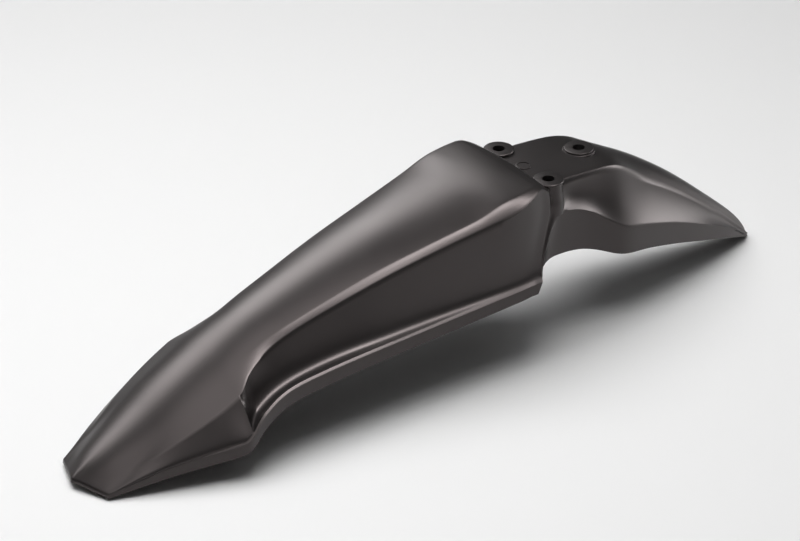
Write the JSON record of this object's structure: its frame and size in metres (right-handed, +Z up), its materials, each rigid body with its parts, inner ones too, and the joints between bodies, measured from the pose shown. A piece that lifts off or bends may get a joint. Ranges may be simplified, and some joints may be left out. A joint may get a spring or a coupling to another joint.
{
  "type": "motorcycle front mudguard",
  "caption": "Beaked motorcycle front mudguard: a thin arched shell with hollowed side walls, raised front panel, bolt pad with raised bosses and a tapering ridged tail.",
  "frame": {"origin": "middle of the two front bolt holes, on the seat face of their bosses", "axes": "+X forward to the nose point, +Y to the left side, +Z up out of the bolt seats"},
  "size_m": [0.7343, 0.1538, 0.1687],
  "materials": {
    "shell": "satin moulded black"
  },
  "bodies": {
    "root": {"front_mudguard": "shell"}
  },
  "joints": []
}
